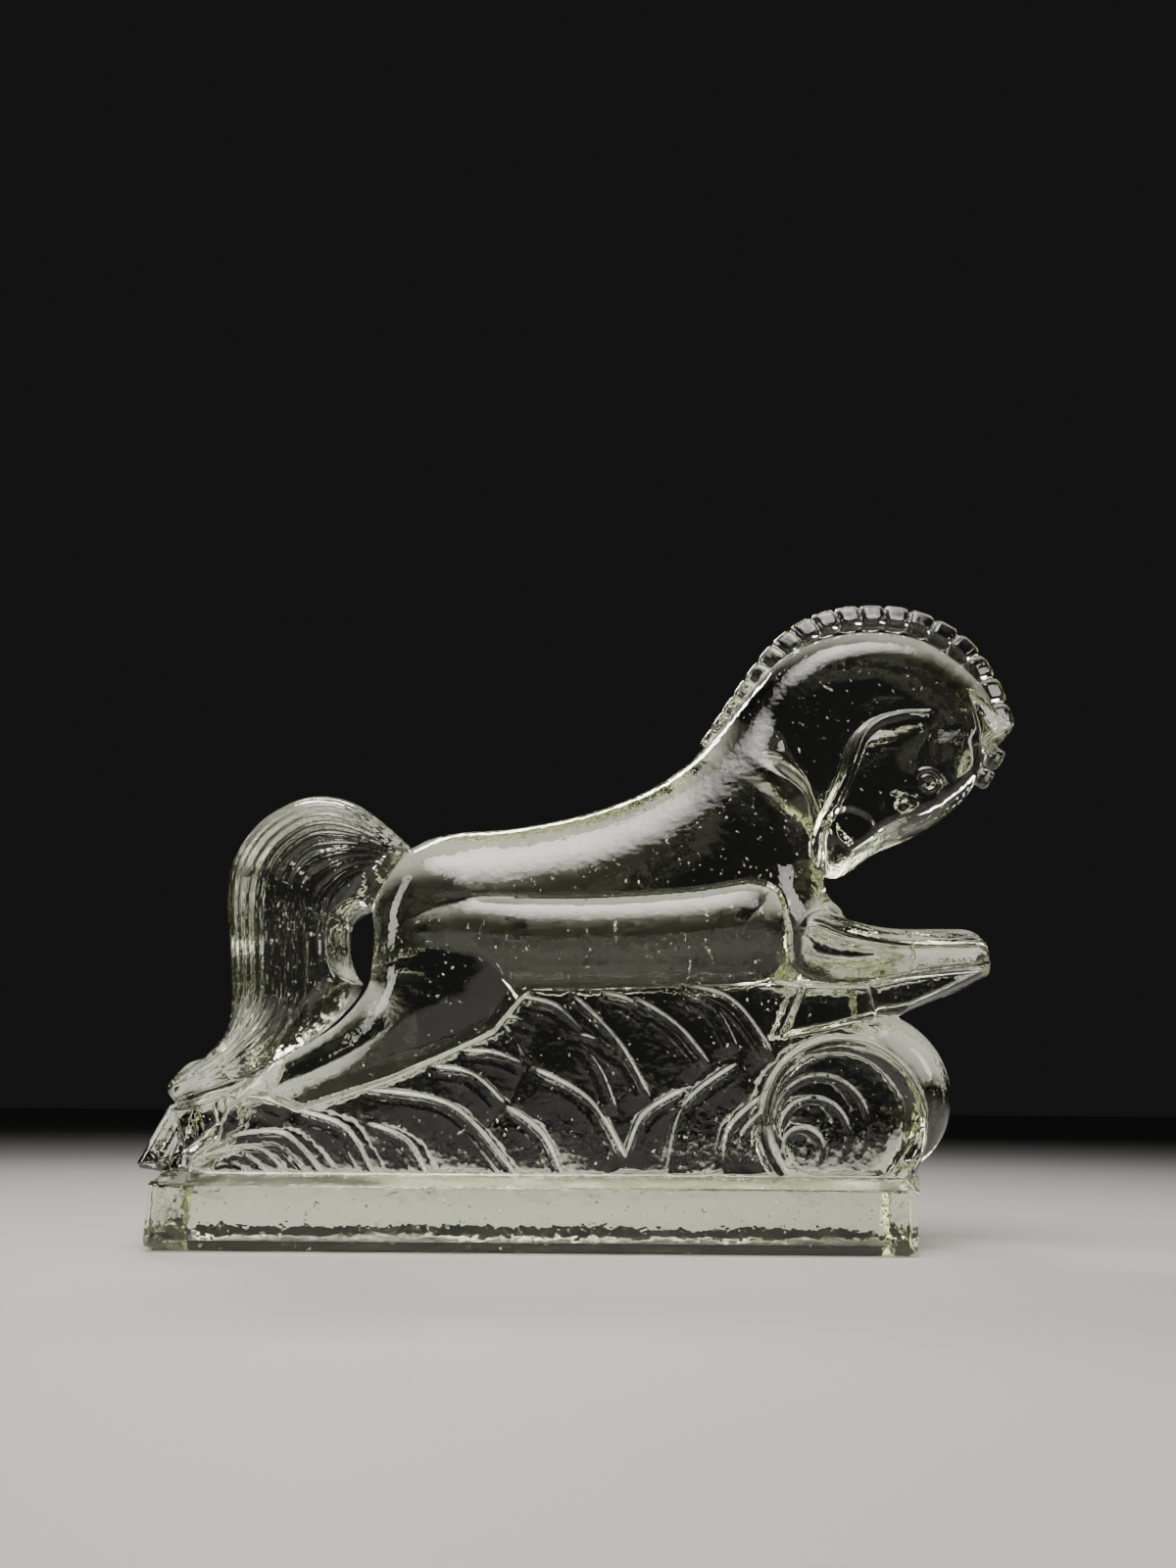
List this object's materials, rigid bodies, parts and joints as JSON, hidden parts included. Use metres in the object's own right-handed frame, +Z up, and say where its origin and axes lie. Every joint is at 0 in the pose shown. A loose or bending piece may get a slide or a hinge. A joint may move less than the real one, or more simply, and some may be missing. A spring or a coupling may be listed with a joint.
{
  "type": "glass horse statue",
  "caption": "Clear pressed-glass horse leaping over a bank of long leaves and a scroll, on a low rectangular plinth, all one solid piece of glass.",
  "frame": {"origin": "centre of the bounding box at its lowest plane, where the underside rests", "axes": "+X towards the horse's head, along the plinth's length; +Z up; -Y is the side seen in the picture and Y = 0 is the plane of the mould seam"},
  "size_m": [0.2405, 0.06, 0.1773],
  "materials": {
    "clear_glass": "glossy, fire-polished, faintly yellow-green where the glass is thick"
  },
  "bodies": {
    "root": {"glass_horse": "clear_glass"}
  },
  "joints": []
}
